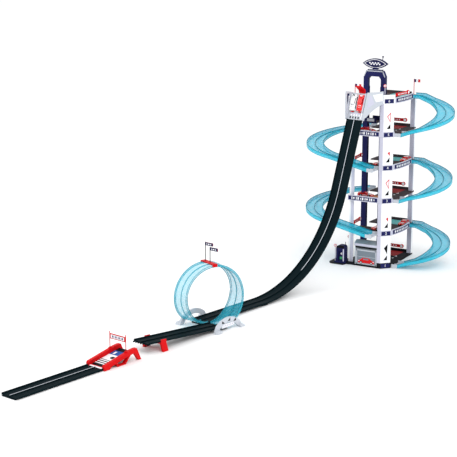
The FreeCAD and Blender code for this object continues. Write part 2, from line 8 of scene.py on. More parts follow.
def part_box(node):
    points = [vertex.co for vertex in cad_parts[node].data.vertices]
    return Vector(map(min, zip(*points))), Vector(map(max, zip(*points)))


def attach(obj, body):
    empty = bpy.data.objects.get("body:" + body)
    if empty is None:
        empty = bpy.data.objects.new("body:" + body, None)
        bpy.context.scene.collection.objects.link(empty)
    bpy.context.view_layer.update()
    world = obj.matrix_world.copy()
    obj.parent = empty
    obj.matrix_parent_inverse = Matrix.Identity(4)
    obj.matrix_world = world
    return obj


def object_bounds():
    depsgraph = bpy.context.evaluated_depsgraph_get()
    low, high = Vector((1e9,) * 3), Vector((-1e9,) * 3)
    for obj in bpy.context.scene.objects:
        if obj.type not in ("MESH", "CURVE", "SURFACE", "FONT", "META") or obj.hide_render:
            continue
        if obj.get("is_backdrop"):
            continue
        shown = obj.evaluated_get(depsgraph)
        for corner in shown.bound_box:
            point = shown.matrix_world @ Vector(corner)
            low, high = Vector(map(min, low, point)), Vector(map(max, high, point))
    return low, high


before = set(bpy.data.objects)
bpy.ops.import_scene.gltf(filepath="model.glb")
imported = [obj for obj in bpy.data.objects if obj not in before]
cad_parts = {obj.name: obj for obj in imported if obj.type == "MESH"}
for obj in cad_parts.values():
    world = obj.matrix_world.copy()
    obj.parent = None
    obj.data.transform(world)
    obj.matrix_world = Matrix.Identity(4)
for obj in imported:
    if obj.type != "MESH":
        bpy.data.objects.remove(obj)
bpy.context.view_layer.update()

# Gravity race set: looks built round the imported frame. Shapes are drawn in millimetres in the same three
# frames as the design and placed by a matrix: TOWER (from the tower's front-right corner), TRACK (along
# the race track) and SLOPE (the start chute: x up the slope, y across, z out of the road).

ROOT = "tower_and_track"

# ------------------------------------------------------------------ places taken from the frame

MM = 0.001
LEVEL = (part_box("floor_level_3")[0].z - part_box("floor_level_2")[0].z) / MM
FLOOR = 5.0                       # floor plate thickness
KERB = 25.0                       # height of a level's edge strip
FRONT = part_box("floor_level_3")[0].x
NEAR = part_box("lift_rails")[0].y - 87 * MM
TOWER = Matrix.Translation((FRONT, NEAR, 0)) @ Matrix.Scale(MM, 4)
TRACK = TOWER @ Matrix.Rotation(math.radians(-9.5), 4, "Z")
STEEP = math.radians(70.5)
TOP = Vector((-151.5, 58.0, 693.3))
SLOPE = TRACK @ Matrix.Translation(TOP) @ Matrix.Rotation(-STEEP, 4, "Y")
IN_Y, OUT_Y, HALF = 58.0, -30.0, 40.0        # track centre lines and half width
MID_Y, SHIFT = (IN_Y + OUT_Y) / 2, (IN_Y - OUT_Y) / 2     # the loop moves a car across by twice SHIFT
LANE = 19.5
LOOP_X, LOOP_R, ROAD = -1164.0, 120.0, 10.0
LOOP_YAW, LOOP_SWAY = math.radians(16.0), 15.0
LAND_HIGH, LAND_LOW, LAND_END = -1669.0, -1826.0, -2226.0
BEND_R = 580.0


def level_z(level):
    return LEVEL * (level - 1)


# ------------------------------------------------------------------ materials


def link(tree, a, out, b, into):
    tree.links.new(a.outputs[out], b.inputs[into])


def noise(tree, coord, scale, detail=4.0):
    node = tree.nodes.new("ShaderNodeTexNoise")
    node.inputs["Scale"].default_value = scale
    node.inputs["Detail"].default_value = detail
    link(tree, coord, "Object", node, "Vector")
    return node


def spread(tree, source, low, high):
    node = tree.nodes.new("ShaderNodeMapRange")
    node.inputs["To Min"].default_value = low
    node.inputs["To Max"].default_value = high
    link(tree, source, 0, node, "Value")
    return node


def blend_colors(tree, factor, first, second):
    node = tree.nodes.new("ShaderNodeMix")
    node.data_type = "RGBA"
    tree.links.new(factor, node.inputs[0])
    for socket, value in ((node.inputs[6], first), (node.inputs[7], second)):
        if isinstance(value, tuple):
            socket.default_value = (*value, 1)
        else:
            tree.links.new(value, socket)
    return node.outputs[2]


def shade(color, factor):
    return tuple(min(1.0, c * factor) for c in color)


def moulded(name, color, rough=0.42, grain=900.0, bump=0.12, tint=0.08, wear=0.25, metal=0.0,
            coat=0.0, alpha=1.0, ridges=0.0, shine=0.2):
    """Moulded plastic or paint: fine grain, slow colour drift, rubbed edges and uneven gloss."""
    made = bpy.data.materials.new(name)
    made.use_nodes = True
    tree = made.node_tree
    shader = tree.nodes["Principled BSDF"]
    coord = tree.nodes.new("ShaderNodeTexCoord")
    fine, broad = noise(tree, coord, grain), noise(tree, coord, 14.0, 3.0)
    base = blend_colors(tree, broad.outputs["Fac"], shade(color, 1 - tint), shade(color, 1 + tint))
    edges = tree.nodes.new("ShaderNodeNewGeometry")
    rubbed = tree.nodes.new("ShaderNodeMapRange")
    rubbed.inputs["From Min"].default_value = 0.52
    rubbed.inputs["From Max"].default_value = 0.62
    rubbed.inputs["To Max"].default_value = wear
    link(tree, edges, "Pointiness", rubbed, "Value")
    pale = tuple(min(1.0, c * 1.4 + 0.003) for c in color)
    tree.links.new(blend_colors(tree, rubbed.outputs[0], base, pale), shader.inputs["Base Color"])
    gloss = spread(tree, broad, rough * 0.85, min(1.0, rough * 1.25))
    link(tree, gloss, 0, shader, "Roughness")
    height = fine.outputs["Fac"]
    if ridges:
        wave = tree.nodes.new("ShaderNodeTexWave")
        wave.bands_direction = "X"
        wave.inputs["Scale"].default_value = ridges
        wave.inputs["Distortion"].default_value = 0.2
        link(tree, coord, "Object", wave, "Vector")
        total = tree.nodes.new("ShaderNodeMath")
        total.operation = "ADD"
        tree.links.new(fine.outputs["Fac"], total.inputs[0])
        tree.links.new(wave.outputs["Fac"], total.inputs[1])
        height = total.outputs[0]
    relief = tree.nodes.new("ShaderNodeBump")
    relief.inputs["Strength"].default_value = bump
    relief.inputs["Distance"].default_value = 0.0003
    tree.links.new(height, relief.inputs["Height"])
    link(tree, relief, "Normal", shader, "Normal")
    shader.inputs["Metallic"].default_value = metal
    shader.inputs["Coat Weight"].default_value = coat
    shader.inputs["Alpha"].default_value = alpha
    shader.inputs["Specular IOR Level"].default_value = shine
    return made


WHITE = moulded("white_plastic_look", (0.86, 0.87, 0.90), rough=0.38, tint=0.03)
# Lavender-grey for kerbs, trim and prints; where it covers the side flanges of the white posts it is painted
# shade of the white plastic.
LAVENDER_AND_SHADE = moulded("lavender_grey_print_and_painted_shade_look", (0.55, 0.55, 0.66), rough=0.4, tint=0.04)
NAVY = moulded("navy_plastic_look", (0.014, 0.016, 0.085), rough=0.45, tint=0.12, shine=0.06)
DEEP_NAVY = moulded("deep_navy_plastic_look", (0.010, 0.012, 0.060), rough=0.45, tint=0.12, shine=0.06)
GREY = moulded("light_grey_plastic_look", (0.50, 0.53, 0.58), rough=0.4, tint=0.05)
DARK_GREY = moulded("dark_grey_floor_look", (0.060, 0.045, 0.050), rough=0.65, bump=0.3, ridges=90.0,
                    shine=0.05)
BASE_BLACK = moulded("black_base_look", (0.010, 0.011, 0.015), rough=0.6, bump=0.25, shine=0.04)
TRACK_BLACK = moulded("black_track_look", (0.0025, 0.009, 0.012), rough=0.55, grain=1400.0, bump=0.2,
                      shine=0.03)
RED = moulded("red_plastic_look", (0.56, 0.004, 0.006), rough=0.4, tint=0.08, shine=0.06)
DARK_RED = moulded("dark_red_plastic_look", (0.26, 0.008, 0.010), rough=0.5, shine=0.05)
CLEAR = moulded("see_through_cyan_look", (0.035, 0.56, 0.74), rough=0.14, bump=0.05, tint=0.10, wear=0.1,
                alpha=0.60)
CLEAR_LOOP = moulded("see_through_loop_look", (0.05, 0.54, 0.70), rough=0.14, bump=0.05, tint=0.08, wear=0.1,
                     alpha=0.33)
CLEAR_RIM = moulded("cyan_rim_look", (0.004, 0.22, 0.29), rough=0.25, bump=0.05, wear=0.1, alpha=0.9)
GARAGE_GREY = moulded("garage_grey_look", (0.27, 0.30, 0.33), rough=0.5, tint=0.06, shine=0.1)
PRINT_WHITE = moulded("printed_white_look", (0.88, 0.89, 0.92), rough=0.5, wear=0.0, tint=0.03)
PRINT_BLACK = moulded("printed_black_look", (0.006, 0.006, 0.008), rough=0.5, wear=0.0, shine=0.05)
PRINT_RED = moulded("printed_red_look", (0.64, 0.015, 0.018), rough=0.5, wear=0.0, shine=0.08)
PRINT_TEAL = moulded("printed_teal_look", (0.10, 0.45, 0.45), rough=0.55, wear=0.0)
PRINT_ORANGE = moulded("printed_orange_look", (0.75, 0.22, 0.06), rough=0.55, wear=0.0)
PRINT_GREEN = moulded("printed_green_look", (0.06, 0.42, 0.16), rough=0.5, wear=0.0)
PRINT_BLUE = moulded("printed_blue_look", (0.02, 0.09, 0.34), rough=0.5, wear=0.0, shine=0.08)
PAINT_RED = moulded("red_car_paint", (0.70, 0.008, 0.008), rough=0.2, grain=2500.0, bump=0.03, coat=0.6)
PAINT_WHITE = moulded("white_car_paint", (0.86, 0.87, 0.88), rough=0.2, grain=2500.0, bump=0.03, coat=0.6)
GLASS_DARK = moulded("car_window_look", (0.010, 0.012, 0.018), rough=0.08, bump=0.0, wear=0.0, coat=0.8)
RUBBER = moulded("tyre_look", (0.015, 0.015, 0.016), rough=0.75, grain=2000.0, bump=0.35)
METAL = moulded("bare_metal_look", (0.62, 0.63, 0.65), rough=0.28, metal=1.0, bump=0.05)
WINDOW = moulded("garage_window_look", (0.20, 0.24, 0.28), rough=0.2, bump=0.04, alpha=0.9, shine=0.1)
LAMP = moulded("lamp_look", (0.85, 0.72, 0.42), rough=0.15, bump=0.02, coat=0.5)

# ------------------------------------------------------------------ mesh building


class Shape:
    """Gathers solids in millimetres, each with its material, and makes one object of them."""

    def __init__(self):
        self.mesh = bmesh.new()
        self.materials = []

    def slot(self, material):
        if material not in self.materials:
            self.materials.append(material)
        return self.materials.index(material)

    def skin(self, points, faces, material, smooth=False, place=None):
        place = place or Matrix.Identity(4)
        verts = [self.mesh.verts.new(place @ Vector(p)) for p in points]
        index = self.slot(material)
        for corners in faces:
            made = self.mesh.faces.new([verts[i] for i in corners])
            made.material_index = index
            made.smooth = smooth

    def box(self, low, high, material):
        (x0, y0, z0), (x1, y1, z1) = low, high
        points = [(x, y, z) for x in (x0, x1) for y in (y0, y1) for z in (z0, z1)]
        faces = [(0, 1, 3, 2), (4, 6, 7, 5), (0, 4, 5, 1), (2, 3, 7, 6), (0, 2, 6, 4), (1, 5, 7, 3)]
        self.skin(points, faces, material)

    def prism(self, outline, low, high, material, axis="z"):
        """Outline extruded along axis; it lies in the other two axes, in X, Y, Z order."""
        order = {"x": lambda a, b, c: (c, a, b),
                 "y": lambda a, b, c: (a, c, b),
                 "z": lambda a, b, c: (a, b, c)}
        count = len(outline)
        points = [order[axis](a, b, c) for c in (low, high) for a, b in outline]
        faces = [tuple(range(count))[::-1], tuple(range(count, 2 * count))]
        faces += [(i, (i + 1) % count, count + (i + 1) % count, count + i) for i in range(count)]
        self.skin(points, faces, material)

    def rod(self, start, end, radius, material, sides=24, tip=None):
        start, end = Vector(start), Vector(end)
        turn = (end - start).to_track_quat("Z", "Y").to_matrix()
        tip = radius if tip is None else tip
        points = []
        for origin, r in ((start, radius), (end, tip)):
            for i in range(sides):
                a = 2 * math.pi * i / sides
                points.append(origin + turn @ Vector((r * math.cos(a), r * math.sin(a), 0)))
        faces = [tuple(range(sides))[::-1], tuple(range(sides, 2 * sides))]
        faces += [(i, (i + 1) % sides, sides + (i + 1) % sides, sides + i) for i in range(sides)]
        self.skin(points, faces, material)

    def tube(self, path, radius, material):
        """Round bar along a list of points, with closed ends."""
        sides = 8
        path = [Vector(p) for p in path]
        points, faces = [], []
        up = Vector((0, 0, 1))
        for i, here in enumerate(path):
            along = (path[min(i + 1, len(path) - 1)] - path[max(i - 1, 0)]).normalized()
            across = along.cross(up if abs(along.z) < 0.99 else Vector((1, 0, 0))).normalized()
            lift = across.cross(along)
            for k in range(sides):
                a = 2 * math.pi * k / sides
                points.append(here + across * radius * math.cos(a) + lift * radius * math.sin(a))
        for i in range(len(path) - 1):
            for k in range(sides):
                n = (k + 1) % sides
                faces.append((i * sides + k, i * sides + n, (i + 1) * sides + n, (i + 1) * sides + k))
        last = (len(path) - 1) * sides
        faces += [tuple(range(sides)), tuple(range(last, last + sides))[::-1]]
        self.skin(points, faces, material, smooth=True)

    def text(self, word, size, depth, material, place):
        curve = bpy.data.curves.new("word", "FONT")
        curve.body = word
        curve.size = size
        curve.extrude = depth
        curve.align_x, curve.align_y = "CENTER", "CENTER"
        maker = bpy.data.objects.new("word", curve)
        mesh = bpy.data.meshes.new_from_object(maker)
        points = [v.co.copy() for v in mesh.vertices]
        faces = [tuple(p.vertices) for p in mesh.polygons]
        bpy.data.meshes.remove(mesh)
        bpy.data.objects.remove(maker)
        bpy.data.curves.remove(curve)
        self.skin(points, faces, material, place=place)

    def piece(self, name, place, body=ROOT, bevel=0.35):
        bmesh.ops.remove_doubles(self.mesh, verts=self.mesh.verts, dist=1e-4)
        bmesh.ops.recalc_face_normals(self.mesh, faces=self.mesh.faces)
        self.mesh.transform(place)
        mesh = bpy.data.meshes.new(name)
        self.mesh.to_mesh(mesh)
        self.mesh.free()
        for material in self.materials:
            mesh.materials.append(material)
        made = bpy.data.objects.new(name, mesh)
        bpy.context.scene.collection.objects.link(made)
        if bevel:
            soften = made.modifiers.new("soft_edges", "BEVEL")
            soften.width = bevel * MM
            soften.segments = 2
            soften.limit_method = "ANGLE"
            soften.angle_limit = math.radians(35)
        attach(made, body)


def dress(material, *names):
    for name in names:
        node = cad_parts[name]
        node.data.materials.clear()
        node.data.materials.append(material)


# ------------------------------------------------------------------ CAD nodes that keep their shape

dress(BASE_BLACK, "base_plate")
dress(DARK_GREY, *["floor_level_%d" % n for n in range(2, 7)])
dress(WHITE, "near_post_sections", "left_post_sections", "right_post_sections")
dress(NAVY, "lift_rails", "lift_arch")
dress(DEEP_NAVY, "top_sign", "lift_cabin", "fuel_station")
dress(GARAGE_GREY, "garage_walls", "garage_roof", "garage_door")
dress(GREY, "ramp_joining_pieces", "launch_chute",
      "launch_deck", "launch_bracket", "loop_stand_near", "loop_stand_far")
dress(RED, "launch_lever", "launch_gate", "loop_top_clip", "jump_support", "landing_rail_near",
      "landing_rail_far", "finish_gate", *["boom_level_%d" % n for n in range(1, 7)])
dress(TRACK_BLACK, "drop_track_upper", "drop_track_lower", "run_in_track", "track_joining_plates",
      "jump_track", "landing_deck", "landing_track")
dress(CLEAR_LOOP, "loop_rising_half", "loop_falling_half")
dress(CLEAR, "ramp_level_6_to_5", "ramp_level_5_to_4",
      "ramp_level_4_to_3", "ramp_level_3_to_2", "ramp_level_2_to_1")
dress(WHITE, "road_signs", "tower_flags")
dress(PAINT_RED, "red_car_body", "parked_cars")
dress(PAINT_WHITE, "white_car_body")
dress(RUBBER, "red_car_front_axle", "red_car_rear_axle", "white_car_front_axle", "white_car_rear_axle")

# ------------------------------------------------------------------ see-through ramps: rims and ribs

RIGHT_RAMP = dict(cx=182.0, cy=-106.0, r=96.0, way=-1, start=-54.0, end=-54.0, edge=-4.3)
LEFT_RAMP = dict(cx=118.0, cy=252.0, r=140.0, way=1, start=208.0, end=58.0, edge=208.0)


def ramp_line(high, offset, up):
    """Line along a ramp at a distance from its middle and a height above its road."""
    shape = LEFT_RAMP if high % 2 else RIGHT_RAMP
    cx, cy, r, way = shape["cx"], shape["cy"], shape["r"], shape["way"]
    arm_up, arm_down = abs(cy - shape["start"]), abs(cy - shape["end"])
    fall = LEVEL / (arm_up + math.pi * r + arm_down)
    top = level_z(high) + FLOOR
    bend, end = top - fall * arm_up, top - LEVEL + fall * arm_down
    radius = r + offset
    points = [(cx + radius, shape["edge"], top + up)] if shape["edge"] != shape["start"] else []
    points.append((cx + radius, shape["start"], top + up))
    steps = 48
    for i in range(steps + 1):
        t = math.pi * i / steps
        z = bend + (end - bend) * i / steps + up
        points.append((cx + radius * math.cos(t), cy + way * radius * math.sin(t), z))
    points.append((cx - radius, shape["end"], top - LEVEL + up))
    return points


for high in range(2, 7):
    rims = Shape()
    for offset in (-38.4, 38.4):
        rims.tube(ramp_line(high, offset, 11), 1.5, CLEAR_RIM)
        rims.tube(ramp_line(high, offset, -3.6), 1.3, CLEAR_RIM)
    rims.tube(ramp_line(high, 0, 5), 1.5, CLEAR_RIM)
    rims.piece("ramp_rims_%d" % high, TOWER, bevel=0)

# ------------------------------------------------------------------ loop: rims, flags, stand prints


def loop_point(turn, across, inward):
    t = math.radians(turn)
    sway = 1 - math.cos(t / 2) ** 4
    yaw = LOOP_YAW * sway
    across_y = MID_Y + SHIFT * math.cos(t / 2) + LOOP_SWAY * math.sin(t) * sway
    middle = Vector((LOOP_X - LOOP_R * math.sin(t), across_y, ROAD + LOOP_R * (1 - math.cos(t))))
    side = Vector((math.sin(yaw), math.cos(yaw), 0))
    toward = Vector((math.sin(t) * math.cos(yaw), -math.sin(t) * math.sin(yaw), math.cos(t)))
    return middle + side * across + toward * inward


loop_rims = Shape()
for across, inward, thick in ((-38.6, 6, 1.4), (38.6, 6, 1.4), (-38.6, -1.0, 1.2), (38.6, -1.0, 1.2),
                              (0, 4, 1.5)):
    loop_rims.tube([loop_point(4 * i, across, inward) for i in range(91)], thick, CLEAR_RIM)
loop_rims.piece("loop_rims", TRACK, bevel=0)

loop_flags = Shape()
for along, top in ((26, 332), (-8, 318)):
    x, y = along * math.sin(LOOP_YAW), along * math.cos(LOOP_YAW)
    for side in (-1, 1):
        near, far = sorted((side * 0.8, side * 1.2))
        loop_flags.box((x + near, y - 40, top - 13.2), (x + far, y + 0.2, top - 0.8), DEEP_NAVY)
        near, far = sorted((side * 1.2, side * 1.5))
        for start, wide in ((31, 5), (22, 7), (11, 4)):
            low, high = (x + near, y - start, top - 9.5), (x + far, y - start + wide, top - 5)
            loop_flags.box(low, high, PRINT_WHITE)
    loop_flags.rod((x, y, 256), (x, y, top), 1.6, PRINT_BLACK, sides=12)
loop_flags.piece("loop_flags", TRACK @ Matrix.Translation((LOOP_X, MID_Y, 0)), bevel=0.1)

STAND_NEAR = TRACK @ Matrix.Translation((LOOP_X + 6, OUT_Y - HALF - 3, 0))
stand_print = Shape()
for x, z, lean in ((-30, 36, -1), (2, 41, 1), (36, 34, 1)):
    stand_print.prism([(x - 8, z - 6), (x + 8, z - 6), (x + 8 * lean, z + 6)], -8.5, -8.0, PRINT_BLACK,
                      axis="y")
stand_print.box((-38, -6, 10), (38, -4, 27), GREY)
stand_print.box((-34, -6.4, 13), (34, -6, 25), PRINT_WHITE)
for k in range(6):
    stand_print.box((-28 + 10 * k, -6.7, 16), (-22 + 10 * k, -6.4, 22), LAVENDER_AND_SHADE)
stand_print.piece("loop_stand_print", STAND_NEAR, bevel=0.1)

# ------------------------------------------------------------------ track: centre lines and cross ribs


def lines_on(points, half_width, thick, shape, material):
    """Flat ribbon with thickness along a line in the track's own side plane."""
    for (xa, za), (xb, zb) in zip(points, points[1:]):
        along = Vector((xb - xa, 0, zb - za)).normalized()
        out = Vector((along.z, 0, -along.x))
        if out.z < 0:
            out = -out
        corners = []
        for x, z in ((xa, za), (xb, zb)):
            for y in (-half_width, half_width):
                corners += [Vector((x, y, z)), Vector((x, y, z)) + out * thick]
        faces = [(0, 4, 6, 2), (1, 3, 7, 5), (0, 1, 5, 4), (2, 6, 7, 3), (0, 2, 3, 1), (4, 5, 7, 6)]
        shape.skin(corners, faces, material)


LINE_UP = 4.0                     # the line lies this far above the road, on the rib
sin_s, cos_s = math.sin(STEEP), math.cos(STEEP)
bend_top = (TOP.x - (TOP.z - ROAD - BEND_R * (1 - cos_s)) * cos_s / sin_s, ROAD + BEND_R * (1 - cos_s))
bend_centre = (bend_top[0] - BEND_R * sin_s, ROAD + BEND_R)
drop = []
for i in range(15):
    a = STEEP * (24 - i) / 24
    r = BEND_R - LINE_UP
    drop.append((bend_centre[0] + r * math.sin(a), bend_centre[1] - r * math.cos(a)))
drop = [(TOP.x - sin_s * LINE_UP, TOP.z + cos_s * LINE_UP)] + drop
centre_line = Shape()
lines_on(drop, 1.3, 0.5, centre_line, GREY)
centre_line.piece("drop_centre_line", TRACK @ Matrix.Translation((0, IN_Y, 0)), bevel=0)

last_line = Shape()
last_line.box((LAND_END + 1, -1.3, 9), (LAND_LOW - 1, 1.3, 9.5), GREY)
RIBS = 52
for k in range(RIBS):
    x = LAND_END + 6 + k * (LAND_LOW - LAND_END - 12) / (RIBS - 1)
    for y0, y1 in ((-36, -3), (3, 36)):
        last_line.box((x - 1.0, y0, 4.9), (x + 1.0, y1, 5.5), TRACK_BLACK)
last_line.piece("last_track_ribs", TRACK @ Matrix.Translation((0, OUT_Y, 0)), body="landing_set", bevel=0.1)

# ------------------------------------------------------------------ landing deck prints, banner

DECK_HIGH, DECK_LOW = 33.0, 5.0
deck_lean = math.atan2(DECK_HIGH - DECK_LOW, LAND_HIGH - LAND_LOW)
DECK = TRACK @ Matrix.Translation((LAND_LOW, OUT_Y, DECK_LOW)) @ Matrix.Rotation(-deck_lean, 4, "Y")
deck = Shape()
prints = [(1, 9, PRINT_WHITE), (9, 13, PRINT_RED), (13, 30, PRINT_BLACK), (30, 36, PRINT_WHITE),
          (36, 42, PRINT_BLACK), (42, 48, PRINT_WHITE), (48, 54, PRINT_BLACK), (54, 60, PRINT_WHITE),
          (60, 64, PRINT_BLACK), (64, 104, PRINT_WHITE), (104, 136, PRINT_BLUE), (136, 156, PRINT_BLACK)]
for start, end, material in prints:
    deck.box((start, -33.6, -0.2), (end, 33.6, 0.4), material)
deck.prism([(76, -10), (92, -10), (92, 2), (84, 8), (76, 2)], 0.4, 0.7, PRINT_BLACK)
for y in (-24, 14):
    deck.box((110, y, 0.4), (128, y + 9, 0.7), PRINT_WHITE)
deck.piece("landing_deck_print", DECK, body="landing_set", bevel=0.1)

GATE_X = -1712.0
banner = Shape()
for x0, x1 in ((GATE_X - 2.0, GATE_X - 1.5), (GATE_X + 1.5, GATE_X + 2.0)):
    banner.box((x0, -34, 82), (x1, 34, 95), PRINT_WHITE)
    for k in range(7):
        y = -28 + 8 * k
        low, high = (x0 - 0.3, x0) if x0 < GATE_X else (x1, x1 + 0.3)
        banner.box((low, y, 84.5), (high, y + 5.5, 92.5), LAVENDER_AND_SHADE if k % 2 else NAVY)
banner.piece("finish_banner_print", TRACK @ Matrix.Translation((0, OUT_Y, 0)), body="landing_set", bevel=0.1)

# ------------------------------------------------------------------ tower: kerbs, numbers, stickers

across_panel = Vector((36, -32, 0)).normalized()
out_of_panel = across_panel.cross(Vector((0, 0, 1)))


def panel(z):
    """Frame on the corner panel's outer face: x across it, y up, z out of it."""
    axes = Matrix((across_panel, Vector((0, 0, 1)), out_of_panel)).transposed().to_4x4()
    return TOWER @ Matrix.Translation((18, -8, z)) @ axes


def arc_points(a, through, b, count):
    """Points on the arc from a through a middle point to b, in the plane."""
    (ax, ay), (bx, by), (cx, cy) = a, through, b
    d = 2 * (ax * (by - cy) + bx * (cy - ay) + cx * (ay - by))
    ux = ((ax**2 + ay**2) * (by - cy) + (bx**2 + by**2) * (cy - ay) + (cx**2 + cy**2) * (ay - by)) / d
    uy = ((ax**2 + ay**2) * (cx - bx) + (bx**2 + by**2) * (ax - cx) + (cx**2 + cy**2) * (bx - ax)) / d
    radius = math.hypot(ax - ux, ay - uy)
    start, end = math.atan2(ay - uy, ax - ux), math.atan2(cy - uy, cx - ux)
    angles = [start + (end - start) * i / count for i in range(count + 1)]
    return (ux, uy, radius, angles)


CURVE = arc_points((46, -24), (142, -34), (236, -26), 24)


def curved_band(shape, low, high, first, last, inner, outer, material):
    """Band standing on the curved right edge of an even floor, between two radii beyond it."""
    ux, uy, radius, angles = CURVE
    ring = [angles[i] for i in range(first, last + 1)]
    outline = []
    for reach, way in ((radius + outer, 1), (radius + inner, -1)):
        outline += [(ux + reach * math.cos(a), uy + reach * math.sin(a)) for a in ring[::way]]
    shape.prism(outline, low, high, material)


for level in range(1, 7):
    z = level_z(level)
    kerb = Shape()
    top = 40 if level == 6 else KERB
    skin = WHITE if level == 6 else BASE_BLACK if level == 1 else LAVENDER_AND_SHADE
    outer = [(-0.5, 26), (-0.5, 7.7), (35.8, -24.6), (46, -24.6), (46, -24), (36, -24), (0, 8), (0, 26)]
    kerb.prism(outer, z + 0.4, z + top, skin)
    if level in (3, 5, 6):
        kerb.box((-0.5, 26, z + 0.4), (0, 178, z + KERB + 0.4), LAVENDER_AND_SHADE)
        kerb.box((-0.5, 26, z + KERB), (3.3, 178, z + KERB + 0.8), GREY)
        kerb.box((-1.0, 30, z + 4), (-0.5, 174, z + 22), NAVY)
        for k in range(11):
            low, high = (7, 19) if k % 3 else (9, 17)
            start, wide = 44 + 11 * k, 7 if k % 2 else 4
            kerb.box((-1.3, start, z + low), (-1.0, start + wide, z + high), PRINT_WHITE)
    if level % 2 == 0:
        curved_band(kerb, z + 0.4, z + KERB + 0.4, 0, 24, 0.0, 0.5, LAVENDER_AND_SHADE)
        curved_band(kerb, z + KERB, z + KERB + 0.8, 0, 24, -4.2, 0.6, GREY)
        curved_band(kerb, z + 4, z + 22, 1, 23, 0.5, 1.0, NAVY)
        for k in range(3, 21, 2):
            curved_band(kerb, z + 8, z + 18, k, k + 1, 1.0, 1.3, PRINT_WHITE)
    if level in (2, 4):
        kerb.box((17.5, 28, z), (18, 178, z + FLOOR), GREY)
    kerb.piece("kerb_skin_%d" % level, TOWER, bevel=0.15)
    number = Shape()
    number.box((-22, -7.5, 0.5), (22, 11.5, 0.9), NAVY)
    number.text(str(level), 17, 0.25, PRINT_WHITE, Matrix.Translation((0, 2, 1.1)))
    number.piece("level_number_%d" % level, panel(z + 10), bevel=0)

for section in range(1, 6):
    sticker = Shape()
    z = level_z(section)
    sticker.prism([(-9, 18), (8, 18), (8, 40)], 0.1, 0.4, PRINT_BLACK)
    if section % 2:
        sticker.prism([(-8, 74), (8, 46), (10, 92)], 0.1, 0.4, PRINT_BLACK if section == 1 else PRINT_RED)
        sticker.prism([(-4, 73), (6, 54), (7, 84)], 0.4, 0.6, WHITE if section != 1 else PRINT_BLACK)
    else:
        sticker.prism([(-2, 60), (9, 46), (9, 66)], 0.1, 0.4, PRINT_RED)
    sticker.piece("post_sticker_%d" % section, panel(z + 20), bevel=0)
    # Thin lavender-grey sheets on the posts' side flanges: painted shade, drawing the shaded side of the
    # white posts.
    flange = Shape()
    flange.box((-0.5, 9, z + KERB), (0, 26, z + LEVEL), LAVENDER_AND_SHADE)
    flange.box((-0.5, 26, z + KERB), (4, 26.5, z + LEVEL), LAVENDER_AND_SHADE)
    flange.box((319.5, 0, z + FLOOR), (320, 22, z + LEVEL), LAVENDER_AND_SHADE)
    flange.box((19.5, 156, z + FLOOR), (20, 170, z + LEVEL), LAVENDER_AND_SHADE)
    flange.piece("post_flange_shade_%d" % section, TOWER, bevel=0.1)

# ------------------------------------------------------------------ floor prints

for level in range(1, 7):
    prints = Shape()
    z = level_z(level) + FLOOR
    high = z + 0.4
    if level % 2 == 0:
        prints.box((240, 30, z), (330, 104, high), PRINT_TEAL)
        prints.box((22, 60, z), (60, 104, high), PRINT_ORANGE)
        prints.box((62, 20, z), (132, 26, high), PRINT_ORANGE)
        for k in range(5):
            prints.box((64 + 24 * k, -18, z), (66 + 24 * k, 14, high), PRINT_WHITE)
    else:
        if level > 1:
            prints.box((8, 24, z), (130, 30, high), PRINT_WHITE)
            prints.box((60, 66, z), (134, 112, high), PRINT_ORANGE)
        prints.box((236, 40, z), (326, 104, high), DARK_RED)
        for k in range(4):
            x = 110 + 40 * k
            if x + 14 < 300:
                prints.prism([(x, 30), (x + 14, 36), (x, 42)], z, high, PRINT_WHITE)
    prints.piece("floor_print_%d" % level, TOWER, bevel=0)

# ------------------------------------------------------------------ barrier booms

BOOM_MID = 37.0                   # middle of a boom above its level
# level: pivot x and y, length, bearing and lift of the arm
BOOMS = {6: (62, -22, 108, -4, 0), 5: (308, 108, 66, -90, 0), 4: (52, 170, 62, 0, 4)}
BOOMS.update({3: BOOMS[5], 2: BOOMS[4], 1: BOOMS[5]})
for level, (x, y, length, bearing, lift) in BOOMS.items():
    place = TOWER @ Matrix.Translation((x, y, level_z(level)))
    place = place @ Matrix.Rotation(math.radians(bearing), 4, "Z")
    place = place @ Matrix.Translation((0, 0, BOOM_MID)) @ Matrix.Rotation(math.radians(-lift), 4, "Y")
    arm = Shape()
    for s in (-1, 1):
        arm.rod((length, 3 * s, 0), (length, 3.4 * s, 0), 9.4, PRINT_RED, sides=32)
        arm.rod((length, 3.4 * s, 0), (length, 3.6 * s, 0), 6.6, PRINT_WHITE, sides=24)
        for k in range(int((length - 22) // 12)):
            arm.rod((14 + 12 * k, 2.5 * s, 0), (14 + 12 * k, 2.9 * s, 0), 3.2, PRINT_WHITE, sides=20)
    arm.piece("boom_print_%d" % level, place, body="boom_level_%d" % level, bevel=0)

# ------------------------------------------------------------------ flags and round signs

tower_flags = Shape()
for x, y in ((30, 166), (329, 12)):
    for low, high in ((x - 1.3, x - 0.8), (x + 0.8, x + 1.3)):
        for start, end, material in ((-30.2, -20, PRINT_RED), (-20, -10, PRINT_WHITE), (-10, 0.2, NAVY)):
            tower_flags.box((low, y + start, 812.6), (high, y + end, 826.4), material)
    tower_flags.rod((x, y, 756), (x, y, 827), 1.6, PRINT_RED, sides=12)
tower_flags.piece("tower_flag_print", TOWER, bevel=0)

signs = Shape()
for x, y, z in ((8, 240, FLOOR + 74), (52, 192, FLOOR + 112), (14, 12, 829)):
    for s in (-1, 1):
        signs.rod((x + 1.5 * s, y, z), (x + 2.0 * s, y, z), 6.9, PRINT_RED, sides=32)
        signs.rod((x + 2.0 * s, y, z), (x + 2.4 * s, y, z), 4.6, PRINT_WHITE, sides=32)
        signs.box((x + 2.4 * s - 0.2, y - 2.6, z - 1), (x + 2.4 * s + 0.2, y + 2.6, z + 1), NAVY)
    signs.rod((x, y, z - 68), (x, y, z - 6), 1.6, LAVENDER_AND_SHADE, sides=12)
signs.piece("round_sign_print", TOWER, bevel=0)

# ------------------------------------------------------------------ lift: caps, sign emblem, cabin label

